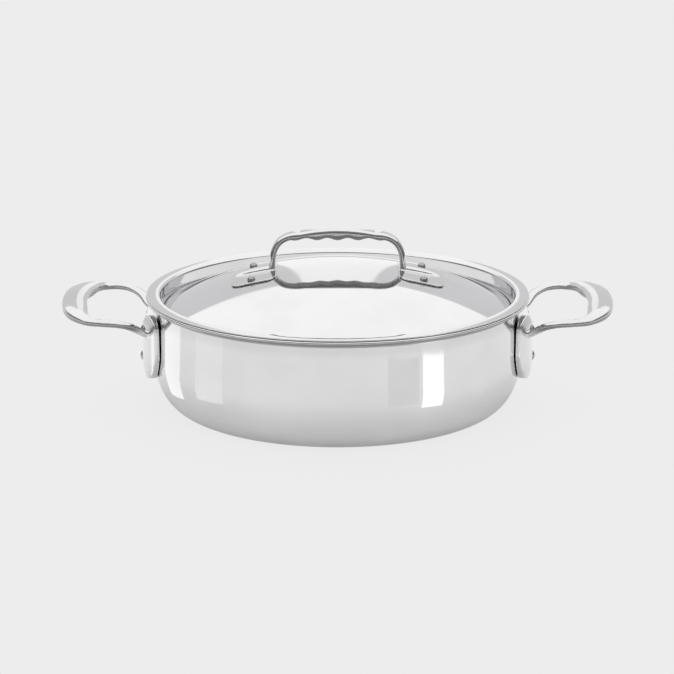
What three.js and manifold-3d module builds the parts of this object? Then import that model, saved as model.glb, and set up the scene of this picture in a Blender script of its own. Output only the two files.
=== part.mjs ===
// A low two-handled cooking pot with a domed lid, in polished stainless steel.
// Millimetres, +Z up, origin at the centre of the flat base, the two side handles along X.
import * as THREE from 'three';
import { mergeVertices } from 'three/addons/utils/BufferGeometryUtils.js';
import Module from 'manifold-3d';

// Driving dimensions of the pot
const POT_INNER_RADIUS = 141.8;
const POT_WALL = 2.5;
const POT_HEIGHT = 87.1;
const CORNER_WIDTH = 24;
const CORNER_HEIGHT = 41;
const LIP_REACH = 4.9;
const LIP_BEND_RADIUS = 3.4;

// Driving dimensions of the lid
const LID_SHEET = 1.2;
const LID_FLANGE_INSET = 0.6;
const LID_STEP_DEPTH = 11;
const LID_STEP_CLEARANCE = 2.8;
const LID_BEND_RADIUS = 1.2;
const LID_GROOVE_WIDTH = 2;
const LID_RISE = 31;

// Driving dimensions of a side handle
const PLATE_BOTTOM = 22;
const PLATE_BOTTOM_RISE = 12;
const PLATE_DIP = 60;
const PLATE_HORN_RISE = 20;
const PLATE_HORN_SHARE = 0.86;
const PLATE_HALF_WIDTH = 53;
const PLATE_CORNER = 18;
const PLATE_EDGE = 4;
const PLATE_CROWN = 8.2;
const PLATE_LEAN = 0.8;
const PLATE_LEAN_START = 56;
const LOOP_REACH = 59.7;
const LOOP_HALF_WIDTH = 59;
const LOOP_ROOT_HALF_WIDTH = 38;
const LOOP_ROOT_HEIGHT = 63;
const LOOP_HEIGHT = 84.5;
const ARM_WIDTH = 8.4;
const ARM_THICKNESS = 5.8;
const GRIP_BAR_WIDTH = 19.5;
const GRIP_BAR_THICKNESS = 12;
const GRIP_BAR_TOP_SHARE = 0.28;
const GRIP_BAR_SHARE = 0.26;
const ARM_START_SHARE = 0.62;

// Driving dimensions of the lid handle
const BRIDGE_HALF_SPAN = 50.7;
const BRIDGE_RISE = 27.1;
const BRIDGE_CORNER_RADIUS = 22;
const BRIDGE_CROWN = 3;
const BRIDGE_WIDTH = 14;
const BRIDGE_THICKNESS = 5.8;
const BRIDGE_BOXINESS = 0.6;
const LEG_WIDTH = 11;
const LEG_THICKNESS = 5;
const SCALLOP_PITCH = 16.4;
const SCALLOP_DEPTH = 1.9;
const SCALLOP_COUNT = 5;
const RIB_REACH = 80;
const RIB_WIDTH = 10;
const RIB_HEIGHT = 8.4;
const RIB_TAPER = 0.9;
const FOOT_INNER_END = 47;
const FOOT_OUTER_END = 82;
const FOOT_CORNER = 9;
const FOOT_HALF_WIDTH = 29;
const FOOT_THICKNESS = 1.2;
const FOOT_RIVET_REACH = 66;
const FOOT_RIVET_OFFSET = 22.5;

// Driving dimensions of the rivets, and where the side handle rivets sit
const RIVET_SHANK_RADIUS = 2.2;
const RIVET_HEAD_RADIUS = 4.7;
const RIVET_DOME_HEIGHT = 2.8;
const LID_RIVET_HEAD_RADIUS = 3.2;
const LID_RIVET_DOME_HEIGHT = 3;
const RIVET_FLAT_HEAD_HEIGHT = 1.4;
const LOW_RIVET_HEIGHT = 36;
const SIDE_RIVET_HEIGHT = 63;
const SIDE_RIVET_OFFSET = 24;
const SPOT_FACE_DEPTH = 0.7;
const LID_SPOT_FACE_DEPTH = 0.2;

// Clearances: touching pieces keep SEAT_GAP, a flat rivet head keeps INNER_HEAD_GAP off the round
// wall behind it, a handle plate keeps PLATE_GAP off the wall, and a shank keeps SHANK_GAP in its hole
const SEAT_GAP = 0.3;
const PLATE_GAP = 0.5;
const INNER_HEAD_GAP = 0.6;
const SHANK_GAP = 0.3;

// Facet counts
const ROUND_SEGMENTS = 60;
const RIVET_SEGMENTS = 12;
const ARC_STEPS = 3;
const CORNER_STEPS = 7;
const DOME_STEPS = 6;
const RIVET_DOME_STEPS = 3;
const LOOP_RINGS = 44;
const BRIDGE_RINGS = 50;
const RIB_RINGS = 6;
const BAR_SIDES = 12;
const PLATE_STEPS_ACROSS = 14;
const PLATE_STEPS_UP = 8;
const FOOT_STEPS_OUT = 8;
const FOOT_STEPS_ACROSS = 6;

// Sizes that follow from the driving dimensions
const POT_OUTER_RADIUS = POT_INNER_RADIUS + POT_WALL;
const BASE_RADIUS = POT_OUTER_RADIUS - CORNER_WIDTH;
const LIP_RADIUS = POT_OUTER_RADIUS + LIP_REACH;
const LIP_TOP_BEND = LIP_BEND_RADIUS + POT_WALL;
const FLANGE_UNDERSIDE = POT_HEIGHT + SEAT_GAP;
const FLANGE_TOP = FLANGE_UNDERSIDE + LID_SHEET;
const STEP_RADIUS = POT_INNER_RADIUS - LID_STEP_CLEARANCE;
const DOME_EDGE_RADIUS = STEP_RADIUS - LID_SHEET - LID_GROOVE_WIDTH;
const DOME_EDGE_HEIGHT = FLANGE_TOP - LID_STEP_DEPTH;
const DOME_RADIUS = (DOME_EDGE_RADIUS ** 2 + LID_RISE ** 2) / (2 * LID_RISE);
const DOME_CENTRE = DOME_EDGE_HEIGHT + LID_RISE - DOME_RADIUS;
const CUT_MARGIN = 20;

const wasm = await Module();
wasm.setup();

// Closed solids from three.js geometry, for joins and cuts
function toSolid(geometry) {
  const bare = geometry.index ? geometry.toNonIndexed() : geometry.clone();
  bare.deleteAttribute('normal');
  bare.deleteAttribute('uv');
  const merged = mergeVertices(bare, 1e-4);
  const corners = merged.index.array;
  const triangles = [];
  for (let i = 0; i < corners.length; i += 3) {
    const [a, b, c] = [corners[i], corners[i + 1], corners[i + 2]];
    if (a !== b && b !== c && c !== a) triangles.push(a, b, c);
  }
  return new wasm.Manifold(new wasm.Mesh({
    numProp: 3,
    vertProperties: new Float32Array(merged.attributes.position.array),
    triVerts: new Uint32Array(triangles),
  }));
}

function toGeometry(solid) {
  const mesh = solid.getMesh();
  const geometry = new THREE.BufferGeometry();
  geometry.setAttribute('position', new THREE.BufferAttribute(mesh.vertProperties, 3));
  geometry.setIndex(new THREE.BufferAttribute(mesh.triVerts, 1));
  geometry.computeVertexNormals();
  return geometry;
}

// Points of an arc in the radius-height plane, angles in degrees from the outward direction
function arc(radius, height, bend, fromAngle, toAngle, steps = ARC_STEPS, tall = bend) {
  return Array.from({ length: steps + 1 }, (_, i) => {
    const angle = THREE.MathUtils.degToRad(fromAngle + ((toAngle - fromAngle) * i) / steps);
    return new THREE.Vector2(radius + bend * Math.cos(angle), height + tall * Math.sin(angle));
  });
}

const at = (radius, height) => new THREE.Vector2(radius, height);

// A body of revolution about +Z from a profile that runs anticlockwise in the radius-height plane
function turned(profile, segments = ROUND_SEGMENTS) {
  return new THREE.LatheGeometry(profile, segments).rotateX(Math.PI / 2);
}

// A closed bar swept along a curve; section(t, angle) gives the offsets along side and up
function sweptBar(curve, rings, upHint, section) {
  const positions = [];
  const index = [];
  for (let ring = 0; ring <= rings; ring += 1) {
    const t = ring / rings;
    const centre = curve.getPointAt(t);
    const tangent = curve.getTangentAt(t);
    const side = new THREE.Vector3().crossVectors(tangent, upHint).normalize();
    const up = new THREE.Vector3().crossVectors(side, tangent).normalize();
    for (let corner = 0; corner < BAR_SIDES; corner += 1) {
      const offset = section(t, (2 * Math.PI * corner) / BAR_SIDES, centre);
      const point = centre.clone().addScaledVector(side, offset.x).addScaledVector(up, offset.y);
      positions.push(point.x, point.y, point.z);
    }
  }
  for (let ring = 0; ring < rings; ring += 1) {
    for (let corner = 0; corner < BAR_SIDES; corner += 1) {
      const here = ring * BAR_SIDES + corner;
      const beside = ring * BAR_SIDES + ((corner + 1) % BAR_SIDES);
      index.push(here, here + BAR_SIDES, beside, beside, here + BAR_SIDES, beside + BAR_SIDES);
    }
  }
  const last = rings * BAR_SIDES;
  for (let corner = 1; corner < BAR_SIDES - 1; corner += 1) {
    index.push(0, corner, corner + 1, last, last + corner + 1, last + corner);
  }
  const geometry = new THREE.BufferGeometry();
  geometry.setAttribute('position', new THREE.Float32BufferAttribute(positions, 3));
  geometry.setIndex(index);
  return geometry;
}

// A closed curved slab between an inner and an outer surface, both functions of u and v in 0..1
function slab(stepsU, stepsV, inner, outer) {
  const positions = [];
  const index = [];
  const row = stepsU + 1;
  const layer = row * (stepsV + 1);
  for (const surface of [outer, inner]) {
    for (let v = 0; v <= stepsV; v += 1) {
      for (let u = 0; u <= stepsU; u += 1) positions.push(...surface(u / stepsU, v / stepsV).toArray());
    }
  }
  const quad = (a, b, c, d) => index.push(a, b, c, a, c, d);
  for (let v = 0; v < stepsV; v += 1) {
    for (let u = 0; u < stepsU; u += 1) {
      const a = v * row + u;
      quad(a, a + 1, a + row + 1, a + row);
      quad(layer + a, layer + a + row, layer + a + row + 1, layer + a + 1);
    }
  }
  for (let u = 0; u < stepsU; u += 1) {
    const top = stepsV * row + u;
    quad(u, layer + u, layer + u + 1, u + 1);
    quad(top, top + 1, layer + top + 1, layer + top);
  }
  for (let v = 0; v < stepsV; v += 1) {
    const left = v * row;
    const right = left + stepsU;
    quad(left, left + row, layer + left + row, layer + left);
    quad(right, layer + right, layer + right + row, right + row);
  }
  const geometry = new THREE.BufferGeometry();
  geometry.setAttribute('position', new THREE.Float32BufferAttribute(positions, 3));
  geometry.setIndex(index);
  return geometry;
}

// A plain cylinder along an axis from a start point, used for holes and spot faces
function drill(start, axis, radius, length) {
  const turn = new THREE.Quaternion().setFromUnitVectors(new THREE.Vector3(0, 1, 0), axis);
  const middle = start.clone().addScaledVector(axis, length / 2);
  const geometry = new THREE.CylinderGeometry(radius, radius, length, RIVET_SEGMENTS);
  return toSolid(geometry.applyQuaternion(turn).translate(middle.x, middle.y, middle.z));
}

// The base corner, an elliptical arc, grown outwards by a margin
function baseCorner(margin, fromAngle, toAngle) {
  const wide = CORNER_WIDTH + margin;
  return arc(BASE_RADIUS, CORNER_HEIGHT, wide, fromAngle, toAngle, CORNER_STEPS, CORNER_HEIGHT + margin);
}

// Radius of the pot at a height, round the base corner and up the wall, inside its outer face by an inset
function potRadiusAt(height, inset = 0) {
  const below = THREE.MathUtils.clamp((CORNER_HEIGHT - height) / (CORNER_HEIGHT - inset), 0, 1);
  return BASE_RADIUS + (CORNER_WIDTH - inset) * Math.sqrt(1 - below ** 2);
}

// Top surface of the lid's dome above a point of the plan
function domeHeightAt(x, y) {
  return DOME_CENTRE + Math.sqrt(DOME_RADIUS ** 2 - x ** 2 - y ** 2);
}

// The saddle plate of a side handle, by its share across (-1 to 1) and its height
const plateLean = (height) => {
  const share = Math.max(0, (height - PLATE_LEAN_START) / (PLATE_DIP + PLATE_HORN_RISE - PLATE_LEAN_START));
  return PLATE_LEAN * share ** 2;
};
const plateThickness = (across) => PLATE_EDGE + (PLATE_CROWN - PLATE_EDGE) * (1 - across ** 2);
const plateInnerRadius = (height) => potRadiusAt(height) + PLATE_GAP + plateLean(height);

// How far a rounded corner of the plate draws its edge in, by the share across
function plateCornerDraw(across) {
  const past = (Math.abs(across) * PLATE_HALF_WIDTH - (PLATE_HALF_WIDTH - PLATE_CORNER)) / PLATE_CORNER;
  return past > 0 ? PLATE_CORNER * (1 - Math.sqrt(1 - Math.min(1, past) ** 2)) : 0;
}

const plateBottomEdge = (across) => PLATE_BOTTOM + PLATE_BOTTOM_RISE * across ** 2 + plateCornerDraw(across);

function plateTopEdge(across) {
  const share = THREE.MathUtils.smoothstep(Math.abs(across), 0, PLATE_HORN_SHARE);
  return PLATE_DIP + PLATE_HORN_RISE * share - plateCornerDraw(across) / 2;
}

function plateOuterRadius(offset, height) {
  return plateInnerRadius(height) + plateThickness(offset / PLATE_HALF_WIDTH);
}

// Where each side handle rivet goes: its offset along the wall and its height
const HANDLE_RIVETS = {
  low: { offset: 0, height: LOW_RIVET_HEIGHT },
  front: { offset: -SIDE_RIVET_OFFSET, height: SIDE_RIVET_HEIGHT },
  back: { offset: SIDE_RIVET_OFFSET, height: SIDE_RIVET_HEIGHT },
};

// The line of a handle rivet: outward direction, and the wall's inner and the plate's outer seats
function handleRivetLine({ offset, height }) {
  const angle = offset / POT_OUTER_RADIUS;
  const axis = new THREE.Vector3(Math.cos(angle), Math.sin(angle), 0);
  const inside = potRadiusAt(height - RIVET_HEAD_RADIUS, POT_WALL) - INNER_HEAD_GAP;
  const start = axis.clone().multiplyScalar(inside).setZ(height);
  const seat = plateOuterRadius(offset, height) - SPOT_FACE_DEPTH;
  return { axis, start, seat, length: seat + SEAT_GAP - inside };
}

// The line of a lid rivet on a foot, square to the dome; the sides are +1 or -1 along X and Y
function lidRivetLine(sideX, sideY) {
  const x = sideX * FOOT_RIVET_REACH;
  const y = sideY * FOOT_RIVET_OFFSET;
  const axis = new THREE.Vector3(x, y, domeHeightAt(x, y) - DOME_CENTRE).normalize();
  const under = DOME_RADIUS - LID_SHEET - SEAT_GAP;
  const seat = DOME_RADIUS + SEAT_GAP + FOOT_THICKNESS - LID_SPOT_FACE_DEPTH;
  const along = (distance) => axis.clone().multiplyScalar(distance).add(new THREE.Vector3(0, 0, DOME_CENTRE));
  return { axis, start: along(under), face: along(seat), length: seat + SEAT_GAP - under };
}

const LID_RIVETS = {
  right_front: lidRivetLine(1, -1),
  right_back: lidRivetLine(1, 1),
  left_front: lidRivetLine(-1, -1),
  left_back: lidRivetLine(-1, 1),
};

function potBody() {
  const wallTop = POT_HEIGHT - LIP_TOP_BEND;
  const bendRadius = POT_OUTER_RADIUS + LIP_BEND_RADIUS;
  const profile = [
    at(0, 0),
    ...baseCorner(0, -90, 0),
    ...arc(bendRadius, wallTop, LIP_BEND_RADIUS, 180, 90),
    ...arc(LIP_RADIUS - POT_WALL / 2, POT_HEIGHT - POT_WALL / 2, POT_WALL / 2, -90, 90),
    ...arc(bendRadius, wallTop, LIP_TOP_BEND, 90, 180),
    ...baseCorner(-POT_WALL, 0, -90),
    at(0, POT_WALL),
  ];
  let solid = toSolid(turned(profile));
  for (const place of Object.values(HANDLE_RIVETS)) {
    const { axis, start } = handleRivetLine(place);
    for (const side of [1, -1]) {
      const outward = new THREE.Vector3(side * axis.x, side * axis.y, 0);
      const inside = new THREE.Vector3(side * start.x, side * start.y, start.z);
      const from = inside.addScaledVector(outward, -CUT_MARGIN);
      solid = solid.subtract(drill(from, outward, RIVET_SHANK_RADIUS + SHANK_GAP, 2 * CUT_MARGIN));
    }
  }
  return toGeometry(solid);
}

function lidShell() {
  const flangeEdge = LIP_RADIUS - LID_FLANGE_INSET;
  const upperBend = STEP_RADIUS + LID_BEND_RADIUS;
  const grooveCentre = STEP_RADIUS - LID_SHEET - LID_GROOVE_WIDTH / 2;
  const grooveBend = LID_GROOVE_WIDTH / 2;
  const grooveBottom = DOME_EDGE_HEIGHT - grooveBend;
  const edgeAngle = THREE.MathUtils.radToDeg(Math.acos(DOME_EDGE_RADIUS / DOME_RADIUS));
  const underEdge = Math.acos((DOME_EDGE_RADIUS - LID_SHEET / 2) / (DOME_RADIUS - LID_SHEET));
  const profile = [
    ...arc(0, DOME_CENTRE, DOME_RADIUS - LID_SHEET, 90, THREE.MathUtils.radToDeg(underEdge), DOME_STEPS),
    ...arc(grooveCentre, grooveBottom, grooveBend + LID_SHEET, -180, 0),
    ...arc(upperBend, FLANGE_UNDERSIDE - LID_BEND_RADIUS, LID_BEND_RADIUS, 180, 90),
    ...arc(flangeEdge - LID_SHEET / 2, FLANGE_TOP - LID_SHEET / 2, LID_SHEET / 2, -90, 90),
    ...arc(upperBend, FLANGE_UNDERSIDE - LID_BEND_RADIUS, LID_BEND_RADIUS + LID_SHEET, 90, 180),
    ...arc(grooveCentre, grooveBottom, grooveBend, 0, -180),
    ...arc(0, DOME_CENTRE, DOME_RADIUS, edgeAngle, 90, DOME_STEPS),
  ];
  let solid = toSolid(turned(profile));
  for (const { axis, start } of Object.values(LID_RIVETS)) {
    const from = start.clone().addScaledVector(axis, -CUT_MARGIN);
    solid = solid.subtract(drill(from, axis, RIVET_SHANK_RADIUS + SHANK_GAP, 2 * CUT_MARGIN));
  }
  return toGeometry(solid);
}

// The plate of a side handle, shaped to the wall it is riveted to
function handlePlate() {
  const surface = (radiusAt) => (u, v) => {
    const across = Math.sin((u - 0.5) * Math.PI);
    const height = THREE.MathUtils.lerp(plateBottomEdge(across), plateTopEdge(across), v);
    const angle = (across * PLATE_HALF_WIDTH) / POT_OUTER_RADIUS;
    const radius = radiusAt(across, height);
    return new THREE.Vector3(radius * Math.cos(angle), radius * Math.sin(angle), height);
  };
  const inner = surface((across, height) => plateInnerRadius(height));
  const outer = surface((across, height) => plateInnerRadius(height) + plateThickness(across));
  return toSolid(slab(PLATE_STEPS_ACROSS, PLATE_STEPS_UP, inner, outer));
}

// The loop of a side handle: two oval arms that rise from the plate and a broad grip bar, flatter on top
function handleLoop() {
  const rootRadius = plateOuterRadius(LOOP_ROOT_HALF_WIDTH, LOOP_ROOT_HEIGHT);
  const rootX = Math.sqrt(rootRadius ** 2 - LOOP_ROOT_HALF_WIDTH ** 2);
  const barX = POT_OUTER_RADIUS + LOOP_REACH;
  const climb = LOOP_HEIGHT - LOOP_ROOT_HEIGHT;
  const rootShare = LOOP_ROOT_HALF_WIDTH / LOOP_HALF_WIDTH;
  // Shares of the reach, the half width and the climb that shape one arm, from the plate to the bar
  const arm = [
    [0, rootShare, 0],
    [0.085, rootShare + 0.07, 0.15],
    [0.2, 0.865, 0.44],
    [0.355, 0.965, 0.61],
    [0.52, 1, 0.67],
    [0.69, 0.97, 0.7],
    [0.8, 0.89, 0.76],
    [0.905, 0.71, 0.85],
    [0.98, 0.38, 0.95],
  ];
  const front = arm.map(([out, wide, rise]) => new THREE.Vector3(
    rootX + (barX - rootX) * out,
    -LOOP_HALF_WIDTH * wide,
    LOOP_ROOT_HEIGHT + climb * rise,
  ));
  const middle = new THREE.Vector3(barX, 0, LOOP_HEIGHT);
  const back = front.map((point) => new THREE.Vector3(point.x, -point.y, point.z)).reverse();
  const curve = new THREE.CatmullRomCurve3([...front, middle, ...back], false, 'centripetal');
  const section = (t, angle) => {
    const fromBar = Math.abs(2 * t - 1);
    const share = 1 - THREE.MathUtils.smoothstep(fromBar, GRIP_BAR_SHARE, ARM_START_SHARE);
    const width = ARM_WIDTH + (GRIP_BAR_WIDTH - ARM_WIDTH) * share;
    const thickness = ARM_THICKNESS + (GRIP_BAR_THICKNESS - ARM_THICKNESS) * share;
    const topShare = THREE.MathUtils.lerp(0.5, GRIP_BAR_TOP_SHARE, share);
    const high = Math.sin(angle);
    return at((width / 2) * Math.cos(angle), thickness * high * (high > 0 ? topShare : 1 - topShare));
  };
  return toSolid(sweptBar(curve, LOOP_RINGS, new THREE.Vector3(0, 0, 1), section));
}

function sideHandle() {
  let solid = handlePlate().add(handleLoop());
  for (const place of Object.values(HANDLE_RIVETS)) {
    const { axis, start, seat } = handleRivetLine(place);
    const face = axis.clone().multiplyScalar(seat).setZ(place.height);
    solid = solid
      .subtract(drill(start, axis, RIVET_SHANK_RADIUS + SHANK_GAP, CUT_MARGIN))
      .subtract(drill(face, axis, RIVET_HEAD_RADIUS + SEAT_GAP, PLATE_CROWN));
  }
  return toGeometry(solid);
}

// One foot of the lid handle towards +X: a thin wing pad shaped to the dome
function bridgeFoot() {
  const middle = (FOOT_INNER_END + FOOT_OUTER_END) / 2;
  const half = (FOOT_OUTER_END - FOOT_INNER_END) / 2;
  const surface = (lift) => (u, v) => {
    const x = middle - half * Math.cos(u * Math.PI);
    const past = Math.max(0, (Math.abs(x - middle) - (half - FOOT_CORNER)) / FOOT_CORNER);
    const halfWidth = FOOT_HALF_WIDTH - FOOT_CORNER * (1 - Math.sqrt(Math.max(0, 1 - past ** 2)));
    const y = (2 * v - 1) * halfWidth;
    const outward = new THREE.Vector3(x, y, domeHeightAt(x, y) - DOME_CENTRE).normalize();
    return outward.multiplyScalar(DOME_RADIUS + lift).add(new THREE.Vector3(0, 0, DOME_CENTRE));
  };
  const top = surface(SEAT_GAP + FOOT_THICKNESS);
  return toSolid(slab(FOOT_STEPS_OUT, FOOT_STEPS_ACROSS, surface(SEAT_GAP), top));
}

// A part of a round section made boxier
const boxed = (part) => Math.sign(part) * Math.abs(part) ** BRIDGE_BOXINESS;

// The boxy rib that runs out from the leg over the middle of a foot
function footRib() {
  const onDome = (x) => new THREE.Vector3(x, 0, domeHeightAt(x, 0));
  const path = new THREE.LineCurve3(onDome(BRIDGE_HALF_SPAN), onDome(RIB_REACH));
  const section = (t, angle) => {
    const taper = Math.sqrt(1 - RIB_TAPER * t ** 4);
    const across = (RIB_WIDTH / 2) * taper * boxed(Math.cos(angle));
    return at(across, (RIB_HEIGHT / 2) * taper * boxed(Math.sin(angle)));
  };
  return toSolid(sweptBar(path, RIB_RINGS, new THREE.Vector3(0, 0, 1), section));
}

// The bridge of the lid handle: two legs, rounded corners and a grip that is crowned on top and level
// below, with finger scallops
function bridgeBar() {
  const legFoot = domeHeightAt(BRIDGE_HALF_SPAN, 0);
  const shoulder = domeHeightAt(0, 0) + BRIDGE_RISE - BRIDGE_CROWN;
  const bendBelow = shoulder - BRIDGE_CORNER_RADIUS;
  const bendIn = BRIDGE_HALF_SPAN - BRIDGE_CORNER_RADIUS;
  const point = (x, z) => new THREE.Vector3(x, 0, z);
  const leg = (side) => [point(side * BRIDGE_HALF_SPAN, legFoot), point(side * BRIDGE_HALF_SPAN, bendBelow)];
  const bend = (side) => [
    leg(side)[1],
    point(side * BRIDGE_HALF_SPAN, shoulder),
    point(side * bendIn, shoulder),
  ];
  const path = new THREE.CurvePath();
  path.add(new THREE.LineCurve3(...leg(-1)));
  path.add(new THREE.QuadraticBezierCurve3(...bend(-1)));
  path.add(new THREE.QuadraticBezierCurve3(bend(-1)[2], point(0, shoulder + 2 * BRIDGE_CROWN), bend(1)[2]));
  path.add(new THREE.QuadraticBezierCurve3(...bend(1).reverse()));
  path.add(new THREE.LineCurve3(...leg(1).reverse()));
  const scallopReach = (SCALLOP_PITCH * SCALLOP_COUNT) / 2;
  const section = (t, angle, centre) => {
    const reach = Math.abs(centre.x);
    const share = 1 - THREE.MathUtils.smoothstep(reach, bendIn, BRIDGE_HALF_SPAN);
    const width = LEG_WIDTH + (BRIDGE_WIDTH - LEG_WIDTH) * share;
    const thickness = LEG_THICKNESS + (BRIDGE_THICKNESS - LEG_THICKNESS) * share;
    const fade = 1 - THREE.MathUtils.smoothstep(reach, scallopReach - SCALLOP_PITCH / 2, scallopReach);
    const wave = (SCALLOP_DEPTH / 2) * fade * Math.cos((2 * Math.PI * centre.x) / SCALLOP_PITCH);
    const fill = Math.max(0, centre.z - shoulder);
    const high = boxed(Math.cos(angle));
    return at((thickness / 2) * high - (wave + fill) * Math.max(0, -high), (width / 2) * boxed(Math.sin(angle)));
  };
  return toSolid(sweptBar(path, BRIDGE_RINGS, new THREE.Vector3(0, 1, 0), section));
}

// The space of the lid's dome up to the middle of a foot pad, where the legs and ribs end
function domeEnvelope() {
  const edge = THREE.MathUtils.radToDeg(Math.acos(DOME_EDGE_RADIUS / DOME_RADIUS));
  const profile = [
    at(0, DOME_EDGE_HEIGHT - CUT_MARGIN),
    at(DOME_EDGE_RADIUS, DOME_EDGE_HEIGHT - CUT_MARGIN),
    ...arc(0, DOME_CENTRE, DOME_RADIUS + SEAT_GAP + FOOT_THICKNESS / 2, edge, 90, 2 * DOME_STEPS),
  ];
  return toSolid(turned(profile));
}

function lidHandle() {
  const foot = bridgeFoot();
  const rib = footRib();
  let solid = bridgeBar().add(rib).add(rib.rotate([0, 0, 180])).subtract(domeEnvelope());
  solid = solid.add(foot).add(foot.rotate([0, 0, 180]));
  for (const { axis, start, face } of Object.values(LID_RIVETS)) {
    solid = solid
      .subtract(drill(start, axis, RIVET_SHANK_RADIUS + SHANK_GAP, CUT_MARGIN))
      .subtract(drill(face, axis, LID_RIVET_HEAD_RADIUS + SEAT_GAP, FOOT_THICKNESS));
  }
  return toGeometry(solid);
}

// A rivet along +Z: flat head below zero, shank, and a domed head above the given length
function rivet(length, headRadius, domeHeight) {
  const domeSphere = (headRadius ** 2 + domeHeight ** 2) / (2 * domeHeight);
  const domeCentre = length + domeHeight - domeSphere;
  const domeEdge = THREE.MathUtils.radToDeg(Math.asin((length - domeCentre) / domeSphere));
  const profile = [
    at(0, -RIVET_FLAT_HEAD_HEIGHT),
    at(headRadius - RIVET_FLAT_HEAD_HEIGHT / 2, -RIVET_FLAT_HEAD_HEIGHT),
    at(headRadius, 0),
    at(RIVET_SHANK_RADIUS, 0),
    at(RIVET_SHANK_RADIUS, length),
    ...arc(0, domeCentre, domeSphere, domeEdge, 90, RIVET_DOME_STEPS),
  ];
  return toGeometry(toSolid(turned(profile, RIVET_SEGMENTS)));
}

function steel(colour, roughness) {
  return new THREE.MeshStandardMaterial({ color: colour, roughness, metalness: 1 });
}

const POLISHED = steel(0xd6d7d8, 0.08);
const CAST = steel(0xcfcfce, 0.16);
const RIVET_STEEL = steel(0xbfc0c1, 0.25);

function piece(name, geometry, material) {
  const mesh = new THREE.Mesh(geometry, material);
  mesh.name = name;
  return mesh;
}

// A rivet mesh set along its line, inside the group of the side it belongs to
function placedRivet(name, line, headRadius, domeHeight) {
  const mesh = piece(name, rivet(line.length, headRadius, domeHeight), RIVET_STEEL);
  mesh.position.copy(line.start);
  mesh.quaternion.setFromUnitVectors(new THREE.Vector3(0, 0, 1), line.axis);
  return mesh;
}

const pot = new THREE.Group();
pot.add(piece('pot_body', potBody(), POLISHED));
for (const side of ['right', 'left']) {
  const group = new THREE.Group();
  group.rotation.z = side === 'right' ? 0 : Math.PI;
  group.add(piece(`${side}_handle`, sideHandle(), CAST));
  for (const [place, spot] of Object.entries(HANDLE_RIVETS)) {
    const name = `${side}_handle_rivet_${place}`;
    group.add(placedRivet(name, handleRivetLine(spot), RIVET_HEAD_RADIUS, RIVET_DOME_HEIGHT));
  }
  pot.add(group);
}
pot.add(piece('lid_shell', lidShell(), POLISHED));
pot.add(piece('lid_handle', lidHandle(), CAST));
for (const [place, line] of Object.entries(LID_RIVETS)) {
  pot.add(placedRivet(`lid_rivet_${place}`, line, LID_RIVET_HEAD_RADIUS, LID_RIVET_DOME_HEIGHT));
}

export default pot;
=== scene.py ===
"""Looks of a low two-handled cooking pot with a domed lid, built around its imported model."""

import math

import bpy
from bpy.props import FloatProperty, FloatVectorProperty, IntProperty, PointerProperty
from mathutils import Matrix, Vector


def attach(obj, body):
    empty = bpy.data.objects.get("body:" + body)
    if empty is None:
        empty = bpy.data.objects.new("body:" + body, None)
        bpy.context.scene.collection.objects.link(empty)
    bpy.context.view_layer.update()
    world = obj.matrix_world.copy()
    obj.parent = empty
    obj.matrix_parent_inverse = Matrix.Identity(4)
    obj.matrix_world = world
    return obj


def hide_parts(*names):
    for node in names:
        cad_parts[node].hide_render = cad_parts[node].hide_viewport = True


bl_info = {
    "name": "Cooking pot",
    "version": (1, 0, 0),
    "blender": (4, 5, 0),
    "location": "View3D > Sidebar > Cooking pot",
    "description": "Builds a polished steel cooking pot with side handles and a domed lid",
    "category": "Add Mesh",
}

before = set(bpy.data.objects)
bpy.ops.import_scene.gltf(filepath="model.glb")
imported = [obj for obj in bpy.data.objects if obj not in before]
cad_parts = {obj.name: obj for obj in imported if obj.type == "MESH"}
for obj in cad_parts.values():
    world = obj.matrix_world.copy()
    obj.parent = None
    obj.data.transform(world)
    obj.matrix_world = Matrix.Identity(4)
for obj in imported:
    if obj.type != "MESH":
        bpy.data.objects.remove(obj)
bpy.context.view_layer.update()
PHOTO_WIDTH = 674

# Cell size of the melt and number of smoothing passes of each kind of casting
SIDE_VOXEL, SIDE_PASSES = 0.0006, 13
LID_VOXEL, LID_PASSES = 0.00042, 5

# Shares of half a loop: where the full grip bar ends and where the plain arm begins
BAR_END, ARM_START = 0.26, 0.62
RIB_TAPER = 0.9

# Steps along the lid handle's leg, corner, half grip and rib
LEG_STEPS, CORNER_STEPS, GRIP_STEPS, RIB_STEPS = 12, 16, 60, 24

RIVET_STUB = 0.003
RIVET_SEGMENTS = 40

# Cards that only show in the steel: name, brightness and corners, just above the floor
PATCH_HEIGHT = 0.0005
PATCHES = (
    ("Right glow", 1.3, ((0.1085, -0.1634), (0.2250, -0.2510), (0.2665, -0.1970), (0.1315, -0.1410))),
    ("Left glow", 1.13, ((-0.156, -0.0300), (-0.1508, -0.0610), (-0.377, 0.028), (-0.338, 0.140))),
    ("Soft glow", 0.95, ((-0.158, -0.0860), (-0.137, -0.1270), (-0.342, -0.188), (-0.370, -0.065))),
    ("Grey glow", 0.80, ((0.0783, -0.2083), (0.1375, -0.3092), (0.2125, -0.2569), (0.1226, -0.1819))),
)


# Sizes and colours that a user would change

def length(name, description, default):
    """A length in metres."""
    return FloatProperty(name=name, description=description, default=default, unit="LENGTH", precision=4)


def share(name, description, default):
    """A number from 0 to 1."""
    return FloatProperty(name=name, description=description, default=default, min=0.0, max=1.0,
                         subtype="FACTOR")


def colour(name, description, default):
    """A linear colour."""
    return FloatVectorProperty(name=name, description=description, default=default, size=3, subtype="COLOR")


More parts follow.
